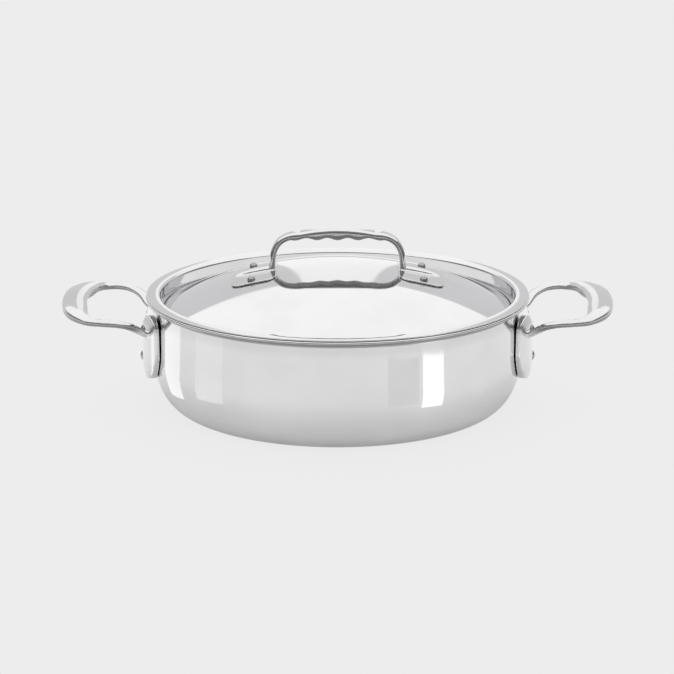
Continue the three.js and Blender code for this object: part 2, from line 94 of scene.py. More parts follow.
class PotSizes(bpy.types.PropertyGroup):
    """Sizes of the pot's pressed shell."""

    inner_radius: length("Inner radius", "Radius inside the straight wall", 0.1418)
    wall: length("Wall", "Thickness of the clad wall", 0.0025)
    height: length("Height", "Height of the lip above the base", 0.0871)
    corner_width: length("Corner width", "Width of the rounded base corner", 0.024)
    corner_height: length("Corner height", "Height of the rounded base corner", 0.041)
    lip_reach: length("Lip reach", "How far the lip stands out from the wall", 0.0049)
    lip_bend: length("Lip bend", "Radius under the lip where it leaves the wall", 0.0034)
    segments: IntProperty(name="Segments", description="Faces round the pot and the lid", default=288, min=24)


class LidSizes(bpy.types.PropertyGroup):
    """Sizes of the lid's pressed sheet."""

    sheet: length("Sheet", "Thickness of the lid", 0.0012)
    seat_gap: length("Seat gap", "Gap between the lid's flange and the lip", 0.0003)
    flange_inset: length("Flange inset", "How far the flange stops short of the lip's edge", 0.0006)
    step_depth: length("Step depth", "Depth of the step from the flange to the dome's edge", 0.011)
    step_clearance: length("Step clearance", "Gap between the step and the pot's wall", 0.0028)
    bend: length("Bend", "Radius where the flange turns down", 0.0012)
    groove_width: length("Groove width", "Width of the groove round the dome", 0.002)
    rise: length("Rise", "Height of the dome above its edge", 0.031)


class SideHandleSizes(bpy.types.PropertyGroup):
    """Sizes of a side handle casting."""

    gap: length("Plate gap", "Gap between the plate and the wall", 0.0005)
    bottom: length("Plate bottom", "Height of the plate's lowest point", 0.022)
    bottom_rise: length("Bottom rise", "How far the bottom edge rises to its corners", 0.012)
    dip: length("Top dip", "Height of the top edge at the middle", 0.060)
    horn_rise: length("Horn rise", "How far the top edge rises to its horns", 0.020)
    horn_share: share("Horn place", "Share of the half width at which a horn is highest", 0.86)
    half_width: length("Plate half width", "Half of the plate's width along the wall", 0.053)
    corner: length("Plate corner", "Radius of the plate's corners", 0.018)
    edge: length("Plate edge", "Thickness of the plate at its sides", 0.004)
    crown: length("Plate crown", "Thickness of the plate at its middle", 0.0082)
    lean: length("Plate lean", "How far the horns lean out from the wall", 0.0008)
    lean_start: length("Lean start", "Height at which the plate begins to lean out", 0.056)
    loop_reach: length("Loop reach", "Distance from the wall to the middle of the grip bar", 0.0597)
    loop_half_width: length("Loop half width", "Half of the loop's width between the arms", 0.059)
    root_half_width: length("Root half width", "Half of the distance between the arms' roots", 0.038)
    root_height: length("Root height", "Height at which the arms leave the plate", 0.063)
    loop_height: length("Loop height", "Height of the grip bar", 0.0845)
    arm_width: length("Arm width", "Width of an arm", 0.0084)
    arm_thickness: length("Arm thickness", "Thickness of an arm", 0.0058)
    bar_width: length("Bar width", "Width of the grip bar", 0.0195)
    bar_thickness: length("Bar thickness", "Thickness of the grip bar", 0.012)
    bar_top: share("Bar top", "Share of the bar's thickness above its widest line", 0.28)


class LidHandleSizes(bpy.types.PropertyGroup):
    """Sizes of the lid handle casting."""

    half_span: length("Half span", "Distance of a leg from the middle", 0.0507)
    rise: length("Rise", "Height of the grip's middle above the dome", 0.0271)
    corner: length("Corner", "Radius where a leg turns into the grip", 0.022)
    crown: length("Crown", "How far the grip rises to its middle", 0.003)
    width: length("Grip width", "Width of the grip", 0.014)
    thickness: length("Grip thickness", "Thickness of the grip at its ends", 0.0058)
    boxiness: share("Boxiness", "1 gives the grip an oval section, less a boxier one", 0.6)
    leg_width: length("Leg width", "Width of a leg", 0.011)
    leg_thickness: length("Leg thickness", "Thickness of a leg", 0.005)
    scallop_pitch: length("Scallop pitch", "Distance between the finger scallops", 0.0164)
    scallop_depth: length("Scallop depth", "Depth of the finger scallops", 0.0019)
    scallop_count: IntProperty(name="Scallops", description="Scallops under the grip", default=5, min=1)
    rib_reach: length("Rib reach", "How far a rib runs out from the middle", 0.080)
    rib_width: length("Rib width", "Width of a rib", 0.010)
    rib_height: length("Rib height", "Height of a rib's full oval", 0.0084)
    foot_inner_end: length("Foot inner end", "Where a foot pad begins", 0.047)
    foot_outer_end: length("Foot outer end", "Where a foot pad ends", 0.082)
    foot_corner: length("Foot corner", "Radius of a foot pad's corners", 0.009)
    foot_half_width: length("Foot half width", "Half of a foot pad's width", 0.029)
    foot_thickness: length("Foot thickness", "Thickness of a foot pad", 0.0012)


class RivetSizes(bpy.types.PropertyGroup):
    """Sizes of the rivets and where they sit."""

    shank: length("Shank radius", "Radius of the shank", 0.0022)
    head: length("Head radius", "Radius of both heads of a side handle rivet", 0.0047)
    lid_head: length("Lid head radius", "Radius of both heads of a lid rivet", 0.0032)
    lid_dome: length("Lid dome height", "Height of the outer, domed head of a lid rivet", 0.003)
    dome: length("Dome height", "Height of the outer, domed head", 0.0028)
    flat: length("Flat height", "Height of the inner, flat head", 0.0014)
    inner_gap: length("Inner gap", "Gap between a flat head and the round wall", 0.0006)
    low_height: length("Low rivet", "Height of the lower rivet of a side handle", 0.036)
    side_height: length("Upper rivets", "Height of the upper rivets of a side handle", 0.063)
    side_offset: length("Upper offset", "Distance of the upper rivets from the middle", 0.024)
    spot_face: length("Spot face", "Depth of the flat that a domed head sits on", 0.0007)
    lid_spot_face: length("Lid spot face", "Depth of that flat on the lid's foot pads", 0.0002)
    lid_reach: length("Lid rivet reach", "Distance of a lid rivet from the middle, along the grip", 0.066)
    lid_offset: length("Lid rivet offset", "Distance of a lid rivet from the grip's line", 0.0225)


class SteelFinish(bpy.types.PropertyGroup):
    """Colours and polish of the three steel finishes."""

    sheet_colour: colour("Sheet steel", "Colour of the mirror polished sheet", (0.80, 0.80, 0.805))
    sheet_polish: share("Sheet roughness", "Roughness of the mirror polished sheet", 0.045)
    cast_colour: colour("Cast steel", "Colour of the polished castings", (0.77, 0.77, 0.765))
    cast_polish: share("Cast roughness", "Roughness of the polished castings", 0.08)
    rivet_colour: colour("Rivet steel", "Colour of the rivets", (0.40, 0.40, 0.40))
    rivet_polish: share("Rivet roughness", "Roughness of the rivets", 0.20)


class StageSettings(bpy.types.PropertyGroup):
    """Camera, floor and light."""

    distance: length("Camera distance", "Distance from the camera to the middle of the rim", 1.615)
    elevation: FloatProperty(name="Elevation", description="Angle of the camera above the rim",
                             default=math.radians(14.0), unit="ROTATION")
    rim_height: length("Rim height", "Height of the lid's flange", 0.0886)
    rim_column: FloatProperty(name="Rim column", description="Image column of its middle", default=337.6)
    rim_row: FloatProperty(name="Rim row", description="Image row of its middle", default=290.0)
    focal_pixels: FloatProperty(name="Focal length", description="In image pixels", default=2068.0)
    paper: colour("Paper", "Colour of the background", (0.846, 0.846, 0.846))
    floor: colour("Floor", "Colour of the floor", (0.84, 0.84, 0.84))


class CookingPot(bpy.types.PropertyGroup):
    """All settings of the pot."""

    pot: PointerProperty(type=PotSizes)
    lid: PointerProperty(type=LidSizes)
    side_handle: PointerProperty(type=SideHandleSizes)
    lid_handle: PointerProperty(type=LidHandleSizes)
    rivet: PointerProperty(type=RivetSizes)
    finish: PointerProperty(type=SteelFinish)
    stage: PointerProperty(type=StageSettings)


def settings():
    """The settings of the pot in this scene."""
    return bpy.context.scene.cooking_pot


# Shapes that pieces share

def arc(radius, height, bend, from_angle, to_angle, steps, tall=None):
    """Points (radius, height) of an arc, angles in degrees from the outward direction."""
    tall = bend if tall is None else tall
    points = []
    for step in range(steps + 1):
        angle = math.radians(from_angle + (to_angle - from_angle) * step / steps)
        points.append((radius + bend * math.cos(angle), height + tall * math.sin(angle)))
    return points


def smoothstep(value, low, high):
    """0 below low, 1 above high and a smooth change between."""
    t = min(1.0, max(0.0, (value - low) / (high - low)))
    return t * t * (3 - 2 * t)


def boxed(part, power):
    """A part of a round section made boxier by a power below 1."""
    return math.copysign(abs(part) ** power, part)


class Dome:
    """The sphere of the lid's dome and the heights of the lid round it."""

    def __init__(self):
        pot, lid = settings().pot, settings().lid
        self.flange_underside = pot.height + lid.seat_gap
        self.flange_top = self.flange_underside + lid.sheet
        self.step_radius = pot.inner_radius - lid.step_clearance
        self.edge_radius = self.step_radius - lid.sheet - lid.groove_width
        self.edge_height = self.flange_top - lid.step_depth
        self.radius = (self.edge_radius ** 2 + lid.rise ** 2) / (2 * lid.rise)
        self.centre = self.edge_height + lid.rise - self.radius

    def height(self, x, y):
        """Height of the dome's top surface above a point of the plan."""
        return self.centre + math.sqrt(self.radius ** 2 - x * x - y * y)

    def normal(self, x, y):
        """Outward direction of the dome above a point of the plan."""
        return Vector((x, y, self.height(x, y) - self.centre)).normalized()

    def point(self, x, y, lift):
        """A point above a point of the plan, lifted off the dome."""
        return Vector((0, 0, self.centre)) + self.normal(x, y) * (self.radius + lift)


class Plate:
    """The saddle plate of a side handle, by its share across and its height."""

    def __init__(self):
        self.sizes = settings().side_handle
        self.pot = settings().pot
        self.outer_radius = self.pot.inner_radius + self.pot.wall
        self.top = self.sizes.dip + self.sizes.horn_rise

    def wall_radius(self, height, inset=0.0):
        """Radius of the pot at a height, inside its outer face by an inset."""
        tall = self.pot.corner_height
        below = min(1.0, max(0.0, (tall - height) / (tall - inset)))
        flat = self.outer_radius - self.pot.corner_width
        return flat + (self.pot.corner_width - inset) * math.sqrt(1 - below ** 2)

    def inner(self, height):
        """Radius of the plate's back face at a height."""
        s = self.sizes
        rise = max(0.0, (height - s.lean_start) / (self.top - s.lean_start))
        return self.wall_radius(height) + s.gap + s.lean * rise ** 2

    def thickness(self, across):
        """Thickness of the plate at a share across."""
        return self.sizes.edge + (self.sizes.crown - self.sizes.edge) * (1 - across ** 2)

    def outer(self, offset, height):
        """Radius of the plate's front face at an offset along the wall and a height."""
        return self.inner(height) + self.thickness(offset / self.sizes.half_width)

    def corner_draw(self, across):
        """How far a rounded corner draws an edge in."""
        s = self.sizes
        past = (abs(across) * s.half_width - (s.half_width - s.corner)) / s.corner
        return s.corner * (1 - math.sqrt(1 - min(1.0, past) ** 2)) if past > 0 else 0.0

    def bottom_edge(self, across):
        """Height of the bottom edge."""
        return self.sizes.bottom + self.sizes.bottom_rise * across ** 2 + self.corner_draw(across)

    def top_edge(self, across):
        """Height of the top edge."""
        rise = self.sizes.horn_rise * smoothstep(abs(across), 0.0, self.sizes.horn_share)
        return self.sizes.dip + rise - self.corner_draw(across) / 2

    def point(self, across, up, outside):
        """A point of the front or the back face."""
        height = self.bottom_edge(across) + (self.top_edge(across) - self.bottom_edge(across)) * up
        radius = self.inner(height) + (self.thickness(across) if outside else 0.0)
        angle = across * self.sizes.half_width / self.outer_radius
        return Vector((radius * math.cos(angle), radius * math.sin(angle), height))


def catmull_rom(points, steps):
    """A smooth path through points, with the given number of steps between neighbours."""
    ends = [points[0] * 2 - points[1]] + points + [points[-1] * 2 - points[-2]]
    path = []
    for i in range(1, len(ends) - 2):
        a, b, c, d = ends[i - 1:i + 3]
        for step in range(steps):
            t = step / steps
            path.append(0.5 * (2 * b + (c - a) * t + (2 * a - 5 * b + 4 * c - d) * t ** 2
                               + (3 * b - a - 3 * c + d) * t ** 3))
    path.append(points[-1].copy())
    return path


def slab(across_steps, up_steps, surface):
    """Vertices and faces of a closed slab; surface(u, v, outside) gives its two faces."""
    row = across_steps + 1
    layer = row * (up_steps + 1)
    points = [surface(u / across_steps, v / up_steps, outside)
              for outside in (True, False) for v in range(up_steps + 1) for u in range(row)]
    faces = []
    for v in range(up_steps):
        for u in range(across_steps):
            a = v * row + u
            faces.append((a, a + 1, a + row + 1, a + row))
            faces.append((layer + a, layer + a + row, layer + a + row + 1, layer + a + 1))
    for u in range(across_steps):
        top = up_steps * row + u
        faces.append((u, layer + u, layer + u + 1, u + 1))
        faces.append((top, top + 1, layer + top + 1, layer + top))
    for v in range(up_steps):
        left = v * row
        right = left + across_steps
        faces.append((left, left + row, layer + left + row, layer + left))
        faces.append((right, layer + right, layer + right + row, right + row))
    return points, faces


def swept_bar(path, up_hint, section, sides=24):
    """Vertices and faces of a closed bar; section(t, angle, centre) gives offsets along side and up."""
    points = []
    faces = []
    last = len(path) - 1
    for ring, centre in enumerate(path):
        tangent = (path[min(last, ring + 1)] - path[max(0, ring - 1)]).normalized()
        side = tangent.cross(up_hint).normalized()
        up = side.cross(tangent).normalized()
        for corner in range(sides):
            across, high = section(ring / last, 2 * math.pi * corner / sides, centre)
            points.append(centre + side * across + up * high)
    for ring in range(last):
        for corner in range(sides):
            here = ring * sides + corner
            beside = ring * sides + (corner + 1) % sides
            faces.append((here, here + sides, beside + sides, beside))
    faces.append(tuple(range(sides)))
    faces.append(tuple(last * sides + corner for corner in reversed(range(sides))))
    return points, faces


def new_object(name, points, faces=(), edges=()):
    """An object at the origin with the given mesh."""
    mesh = bpy.data.meshes.new(name)
    mesh.from_pydata([tuple(p) for p in points], list(edges), list(faces))
    mesh.update()
    obj = bpy.data.objects.new(name, mesh)
    bpy.context.scene.collection.objects.link(obj)
    return obj


def joined_object(name, shapes):
    """One object that holds several closed shapes, not yet melted together."""
    points = []
    faces = []
    for shape_points, shape_faces in shapes:
        start = len(points)
        points.extend(shape_points)
        faces.extend(tuple(start + corner for corner in face) for face in shape_faces)
    return new_object(name, points, faces)


def turned_about_z(shape, angle):
    """A shape turned about the pot's axis."""
    turn = Matrix.Rotation(angle, 3, "Z")
    return [turn @ Vector(p) for p in shape[0]], shape[1]


def settle(obj):
    """Turns an object with modifiers into a plain smooth mesh."""
    depsgraph = bpy.context.evaluated_depsgraph_get()
    evaluated = obj.evaluated_get(depsgraph)
    mesh = bpy.data.meshes.new_from_object(evaluated, depsgraph=depsgraph)
    obj.modifiers.clear()
    old = obj.data
    obj.data = mesh
    bpy.data.meshes.remove(old)
    mesh.name = obj.name
    mesh.polygons.foreach_set("use_smooth", [True] * len(mesh.polygons))
    if not mesh.polygons:
        raise RuntimeError(obj.name + " came out empty")
    return obj


def cast(obj, voxel, passes):
    """Melts the joined shapes of a casting into one skin and softens its edges and inner corners."""
    melt = obj.modifiers.new("Melt", "REMESH")
    melt.mode = "VOXEL"
    melt.voxel_size = voxel
    soften = obj.modifiers.new("Soften", "SMOOTH")
    soften.factor = 0.5
    soften.iterations = passes
    return settle(obj)


def finished(obj, body, slot, material, *nodes):
    """Gives a piece its finish, its body and the solids that it stands for."""
    obj.data.materials.clear()
    obj.data.materials.append(material)
    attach(obj, body)
    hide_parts(*nodes)


# Geometry node trees

class Tree:
    """A geometry node tree with named inputs."""

    def __init__(self, name, inputs):
        self.group = bpy.data.node_groups.new(name, "GeometryNodeTree")
        face = self.group.interface
        face.new_socket("Geometry", in_out="INPUT", socket_type="NodeSocketGeometry")
        for label, kind in inputs:
            face.new_socket(label, in_out="INPUT", socket_type=kind)
        face.new_socket("Geometry", in_out="OUTPUT", socket_type="NodeSocketGeometry")
        self.start = self.group.nodes.new("NodeGroupInput").outputs
        self.end = self.group.nodes.new("NodeGroupOutput").inputs

    def node(self, kind, settings_of=None, **sockets):
        """A node with its settings and the values or links of its sockets."""
        made = self.group.nodes.new(kind)
        for key, value in (settings_of or {}).items():
            setattr(made, key, value)
        for key, value in sockets.items():
            label = key.replace("_", " ")
            socket = next(s for s in made.inputs if s.name == label and s.enabled)
            self.feed(socket, value)
        return made

    def feed(self, socket, value):
        """Links a socket or sets its value."""
        if isinstance(value, bpy.types.NodeSocket):
            self.group.links.new(value, socket)
        else:
            socket.default_value = value

    def maths(self, operation, first, second=0.0):
        """One Math node on two values."""
        made = self.group.nodes.new("ShaderNodeMath")
        made.operation = operation
        self.feed(made.inputs[0], first)
        self.feed(made.inputs[1], second)
        return made.outputs[0]

    def close(self, geometry):
        """Ends the tree in real meshes of its material."""
        real = self.node("GeometryNodeRealizeInstances", Geometry=geometry).outputs[0]
        dressed = self.node("GeometryNodeSetMaterial", Geometry=real, Material=self.start["Material"])
        self.feed(self.end[0], dressed.outputs[0])
        return self

    def modify(self, obj, values):
        """Adds the tree to an object and sets its inputs by their identifiers."""
        modifier = obj.modifiers.new(self.group.name, "NODES")
        modifier.node_group = self.group
        for item in self.group.interface.items_tree:
            if item.item_type == "SOCKET" and item.in_out == "INPUT" and item.name in values:
                modifier[item.identifier] = values[item.name]
        return settle(obj)


def turning_tree():
    """Turns a profile of points in the XZ plane about Z into a closed shell."""
    tree = Tree("Turn about the axis", [("Segments", "NodeSocketInt"), ("Material", "NodeSocketMaterial")])
    profile, segments = tree.start[0], tree.start["Segments"]
    sized = tree.node("GeometryNodeAttributeDomainSize", {"component": "MESH"}, Geometry=profile)
    count = sized.outputs["Point Count"]
    columns = tree.maths("ADD", segments, 1.0)
    grid = tree.node("GeometryNodeMeshGrid", Size_X=1.0, Size_Y=1.0, Vertices_X=columns, Vertices_Y=count)
    position = tree.node("GeometryNodeInputPosition").outputs[0]
    place = tree.node("ShaderNodeSeparateXYZ", Vector=position)
    angle = tree.maths("MULTIPLY", tree.maths("ADD", place.outputs["X"], 0.5), 2 * math.pi)
    last_row = tree.maths("SUBTRACT", count, 1.0)
    row = tree.maths("MULTIPLY", tree.maths("ADD", place.outputs["Y"], 0.5), last_row)
    sample = tree.node("GeometryNodeSampleIndex", {"data_type": "FLOAT_VECTOR"}, Geometry=profile,
                       Value=position, Index=tree.maths("ROUND", row))
    spot = tree.node("ShaderNodeSeparateXYZ", Vector=sample.outputs[0])
    x = tree.maths("MULTIPLY", spot.outputs["X"], tree.maths("COSINE", angle))
    y = tree.maths("MULTIPLY", spot.outputs["X"], tree.maths("SINE", angle))
    target = tree.node("ShaderNodeCombineXYZ", X=x, Y=y, Z=spot.outputs["Z"])
    moved = tree.node("GeometryNodeSetPosition", Geometry=grid.outputs["Mesh"], Position=target.outputs[0])
    closed = tree.node("GeometryNodeMergeByDistance", Geometry=moved.outputs[0], Distance=1e-6)
    return tree.close(closed.outputs[0])


def rivet_tree():
    """Sets a domed head on each point marked domed and a flat head on the others."""
    tree = Tree("Rivets on points", [("Domed head", "NodeSocketObject"), ("Flat head", "NodeSocketObject"),
                                     ("Material", "NodeSocketMaterial")])
    named = "GeometryNodeInputNamedAttribute"
    domed = tree.node(named, {"data_type": "BOOLEAN"}, Name="domed").outputs[0]
    axis = tree.node(named, {"data_type": "FLOAT_VECTOR"}, Name="axis").outputs[0]
    turn = tree.node("FunctionNodeAlignRotationToVector", {"axis": "Z"}, Vector=axis)
    other = tree.node("FunctionNodeBooleanMath", {"operation": "NOT"}, Boolean=domed).outputs[0]
    join = tree.group.nodes.new("GeometryNodeJoinGeometry")
    for label, chosen in (("Domed head", domed), ("Flat head", other)):
        shape = tree.node("GeometryNodeObjectInfo", Object=tree.start[label])
        copies = tree.node("GeometryNodeInstanceOnPoints", Points=tree.start[0], Selection=chosen,
                           Instance=shape.outputs["Geometry"], Rotation=turn.outputs[0])
        tree.group.links.new(copies.outputs[0], join.inputs[0])
    return tree.close(join.outputs[0])


def turned_piece(name, profile, segments, material):
    """A closed shell turned from a profile of (radius, height) points."""
    edges = [(i, i + 1) for i in range(len(profile) - 1)]
    obj = new_object(name, [(radius, 0.0, height) for radius, height in profile], edges=edges)
    return turning_tree().modify(obj, {"Segments": segments, "Material": material})


# Steel finishes

class Value:
    """A shader socket that can be used in expressions."""

    def __init__(self, shader, socket):
        self.shader = shader
        self.socket = socket

    def maths(self, operation, first, second):
        """A Math node on two values."""
        made = self.shader.node("ShaderNodeMath", {"operation": operation}, {0: first, 1: second})
        return Value(self.shader, made.outputs[0])

    def __add__(self, other):
        return self.maths("ADD", self, other)

    def __radd__(self, other):
        return self.maths("ADD", other, self)

    def __sub__(self, other):
        return self.maths("SUBTRACT", self, other)

    def __rsub__(self, other):
        return self.maths("SUBTRACT", other, self)

    def __mul__(self, other):
        return self.maths("MULTIPLY", self, other)

    def __rmul__(self, other):
        return self.maths("MULTIPLY", other, self)

    def at_least(self, other):
        """The larger of two values."""
        return self.maths("MAXIMUM", self, other)

    def between(self, low, high):
        """0 below low, 1 above high and a smooth change between."""
        made = self.shader.node("ShaderNodeMapRange", {"interpolation_type": "SMOOTHSTEP"},
                                {"Value": self, "From Min": low, "From Max": high})
        return Value(self.shader, made.outputs[0])


class Shader:
    """The node tree of a material or of the world."""

    def __init__(self, tree):
        self.tree = tree
        tree.nodes.clear()

    def node(self, kind, settings_of=None, sockets=None):
        """A node with its settings, set first, and the values or links of its sockets."""
        made = self.tree.nodes.new(kind)
        for key, value in (settings_of or {}).items():
            setattr(made, key, value)
        for key, value in (sockets or {}).items():
            source = value.socket if isinstance(value, Value) else value
            if isinstance(source, bpy.types.NodeSocket):
                self.tree.links.new(source, made.inputs[key])
            else:
                made.inputs[key].default_value = source
        return made

    def value(self, kind, output=0, settings_of=None, sockets=None):
        """The output of a new node, ready for expressions."""
        return Value(self, self.node(kind, settings_of, sockets).outputs[output])

    def parts(self, vector):
        """The X, Y and Z of a vector."""
        made = self.node("ShaderNodeSeparateXYZ", None, {"Vector": vector})
        return [Value(self, output) for output in made.outputs]

    def blend(self, factor, first, second):
        """A colour between two colours."""
        made = self.node("ShaderNodeMix", {"data_type": "RGBA"}, {"Factor": factor})
        for index, paint in ((6, first), (7, second)):
            if isinstance(paint, bpy.types.NodeSocket):
                self.tree.links.new(paint, made.inputs[index])
            else:
                made.inputs[index].default_value = (*paint, 1.0)
        return made.outputs[2]


def new_material(name):
    """A material and its empty node tree."""
    material = bpy.data.materials.new(name)
    material.use_nodes = True
    return material, Shader(material.node_tree)


def steel(name, tint, roughness, haze, grain, unevenness,
          dull=0.0, dull_from=0.0, dull_side=0.05, satin=0.0):
    """Polished steel with haze, fine grain and slight unevenness.

    Above a set height it is rougher where it faces down, from a set tilt a little above level, and
    there its colour is darkened as painted shade. A satin share adds roughness on the inside of a pot.
    """
    found = bpy.data.materials.get(name)
    if found:
        return found
    material, shader = new_material(name)
    place = shader.node("ShaderNodeTexCoord").outputs["Object"]
    cloud = shader.value("ShaderNodeTexNoise", "Fac", None, {"Vector": place, "Scale": 26.0, "Detail": 3.0})
    fine = shader.value("ShaderNodeTexNoise", "Fac", None, {"Vector": place, "Scale": grain, "Detail": 2.0})
    rough = roughness + (cloud.between(0.35, 0.75) * haze) + ((fine - 0.5) * (haze * 0.8))
    deeper = tuple(part * 0.955 for part in tint)
    paint = shader.blend(cloud.between(0.3, 0.7).socket, tint, deeper)
    x, y, z = shader.parts(place)
    facing_x, facing_y, facing_z = shader.parts(shader.node("ShaderNodeTexCoord").outputs["Normal"])
    # Painted shade: where the surface faces down above a height its colour is darkened, and its roughness is
    # raised there too
    if dull:
        below = (0.0 - facing_z).between(-dull_side, 0.35) * z.between(dull_from, dull_from + 0.008)
        paint = shader.blend(below.socket, paint, tuple(part * (1 - dull) for part in tint))
        rough = rough + below * (0.5 * dull)
    if satin:
        low = (0.05 - z).between(0.0, 0.004)
        inside = (facing_z * low * 0.1 - facing_x * x - facing_y * y).between(0.0, 0.02)
        rough = rough + inside * satin
    bump = shader.node("ShaderNodeBump", None, {"Strength": unevenness, "Distance": 0.0002, "Height": fine})
    surface = shader.node("ShaderNodeBsdfPrincipled", None, {
        "Base Color": paint, "Roughness": rough.at_least(0.02), "Metallic": 1.0, "Normal": bump.outputs[0],
    })
    shader.node("ShaderNodeOutputMaterial", None, {"Surface": surface.outputs[0]})
    return material


def sheet_steel(name, **shares):
    """Mirror polished sheet of the pot and the lid."""
    finish = settings().finish
    return steel(name, tuple(finish.sheet_colour), finish.sheet_polish,
                 haze=0.035, grain=900.0, unevenness=0.01, **shares)


def cast_steel(name, **shares):
    """Polished castings of the handles, rougher below, with painted shade that darkens their colour where
    they face down.
    """
    finish = settings().finish
    return steel(name, tuple(finish.cast_colour), finish.cast_polish,
                 haze=0.05, grain=700.0, unevenness=0.03, dull=0.62, **shares)


def rivet_steel():
    """Satin rivets."""
    finish = settings().finish
    return steel("Satin rivet", tuple(finish.rivet_colour), finish.rivet_polish,
                 haze=0.08, grain=1500.0, unevenness=0.04)


# Operators

class POT_OT_body(bpy.types.Operator):
    """Turns the pot's shell with its rounded corner and flared lip"""

    bl_idname = "cooking_pot.body"
    bl_label = "Pot body"

    def execute(self, context):
        s = settings().pot
        outer = s.inner_radius + s.wall
        flat = outer - s.corner_width
        lip_edge = outer + s.lip_reach - s.wall / 2
        bend_radius = outer + s.lip_bend
        wall_top = s.height - s.lip_bend - s.wall
        inner_width = s.corner_width - s.wall
        inner_tall = s.corner_height - s.wall
        profile = [(0.0, 0.0), (flat * 0.5, 0.0), (flat * 0.96, 0.0)]
        profile += arc(flat, s.corner_height, s.corner_width, -90, 0, 30, s.corner_height)
        profile += arc(bend_radius, wall_top, s.lip_bend, 180, 90, 8)
        profile += arc(lip_edge, s.height - s.wall / 2, s.wall / 2, -90, 90, 12)
        profile += arc(bend_radius, wall_top, s.lip_bend + s.wall, 90, 180, 12)
        profile += arc(flat, s.corner_height, inner_width, 0, -90, 30, inner_tall)
        profile += [(flat * 0.96, s.wall), (flat * 0.5, s.wall), (0.0, s.wall)]
        # Painted shade: the shell's colour is darkened where it faces down near the lip, and its roughness is
        # raised there
        polished = sheet_steel("Mirror polished shell", dull=0.55, dull_from=s.height - 0.016, satin=0.24)
        obj = turned_piece("pot_shell", profile, s.segments, polished)
        finished(obj, "pot", "polished_steel", polished, "pot_body")
        return {"FINISHED"}


class POT_OT_lid(bpy.types.Operator):
    """Turns the lid's sheet: flange, step, groove and dome"""

    bl_idname = "cooking_pot.lid"
    bl_label = "Lid"

    def execute(self, context):
        pot, s, dome = settings().pot, settings().lid, Dome()
        flange_edge = pot.inner_radius + pot.wall + pot.lip_reach - s.flange_inset
        upper_bend = dome.step_radius + s.bend
        bend_height = dome.flange_underside - s.bend
        groove = s.groove_width / 2
        groove_centre = dome.step_radius - s.sheet - groove
        groove_height = dome.edge_height - groove
        edge = math.degrees(math.acos(dome.edge_radius / dome.radius))
        under_edge = math.degrees(math.acos((dome.edge_radius - s.sheet / 2) / (dome.radius - s.sheet)))
        profile = arc(0.0, dome.centre, dome.radius - s.sheet, 90, under_edge, 40)
        profile += arc(groove_centre, groove_height, groove + s.sheet, -180, 0, 16)
        profile += arc(upper_bend, bend_height, s.bend, 180, 90, 8)
        profile += arc(flange_edge - s.sheet / 2, dome.flange_top - s.sheet / 2, s.sheet / 2, -90, 90, 10)
        profile += arc(upper_bend, bend_height, s.bend + s.sheet, 90, 180, 10)
        profile += arc(groove_centre, groove_height, groove, 0, -180, 12)
        profile += arc(0.0, dome.centre, dome.radius, edge, 90, 40)
        polished = sheet_steel("Mirror polished lid")
        obj = turned_piece("lid_sheet", profile, pot.segments, polished)
        finished(obj, "lid", "polished_steel", polished, "lid_shell")
        return {"FINISHED"}


class POT_OT_side_handles(bpy.types.Operator):
    """Casts the two side handles, each a saddle plate with a loop"""

    bl_idname = "cooking_pot.side_handles"
    bl_label = "Side handles"

    def loop(self, plate):
        """The arms and the grip bar of one handle."""
        s = settings().side_handle
        root_radius = plate.outer(s.root_half_width, s.root_height)
        root_x = math.sqrt(root_radius ** 2 - s.root_half_width ** 2)
        bar_x = plate.outer_radius + s.loop_reach
        climb = s.loop_height - s.root_height
        root = s.root_half_width / s.loop_half_width
        shares = [(0, root, 0), (0.085, root + 0.07, 0.15), (0.2, 0.865, 0.44),
                  (0.355, 0.965, 0.61), (0.52, 1, 0.67), (0.69, 0.97, 0.7),
                  (0.8, 0.89, 0.76), (0.905, 0.71, 0.85), (0.98, 0.38, 0.95)]
        front = [Vector((root_x + (bar_x - root_x) * out, -s.loop_half_width * wide,
                         s.root_height + climb * rise)) for out, wide, rise in shares]
        back = [Vector((p.x, -p.y, p.z)) for p in reversed(front)]
        path = catmull_rom(front + [Vector((bar_x, 0, s.loop_height))] + back, 10)
        travelled = [0.0]
        for here, ahead in zip(path, path[1:]):
            travelled.append(travelled[-1] + (ahead - here).length)
        total = travelled[-1]
        last = len(path) - 1

        def section(t, angle, centre):
            from_bar = abs(2 * travelled[round(t * last)] / total - 1)
            broad = 1 - smoothstep(from_bar, BAR_END, ARM_START)
            wide = s.arm_width + (s.bar_width - s.arm_width) * broad
            thick = s.arm_thickness + (s.bar_thickness - s.arm_thickness) * broad
            top = 0.5 + (s.bar_top - 0.5) * broad
            high = math.sin(angle)
            return wide / 2 * math.cos(angle), thick * high * (top if high > 0 else 1 - top)

        return swept_bar(path, Vector((0, 0, 1)), section)

    def execute(self, context):
        plate = Plate()

        def surface(u, v, outside):
            return plate.point(math.sin((u - 0.5) * math.pi), v, outside)

        shapes = [slab(64, 40, surface), self.loop(plate)]
        # Painted shade: the handles' colour is darkened where they face down above this height, and their
        # roughness is raised there
        bright = cast_steel("Bright casting", dull_from=0.064, dull_side=0.3)
        for side, angle in (("right", 0.0), ("left", math.pi)):
            turned = [turned_about_z(shape, angle) for shape in shapes]
            obj = cast(joined_object(side + "_handle_casting", turned), SIDE_VOXEL, SIDE_PASSES)
            finished(obj, "pot", "cast_steel", bright, side + "_handle")
        return {"FINISHED"}


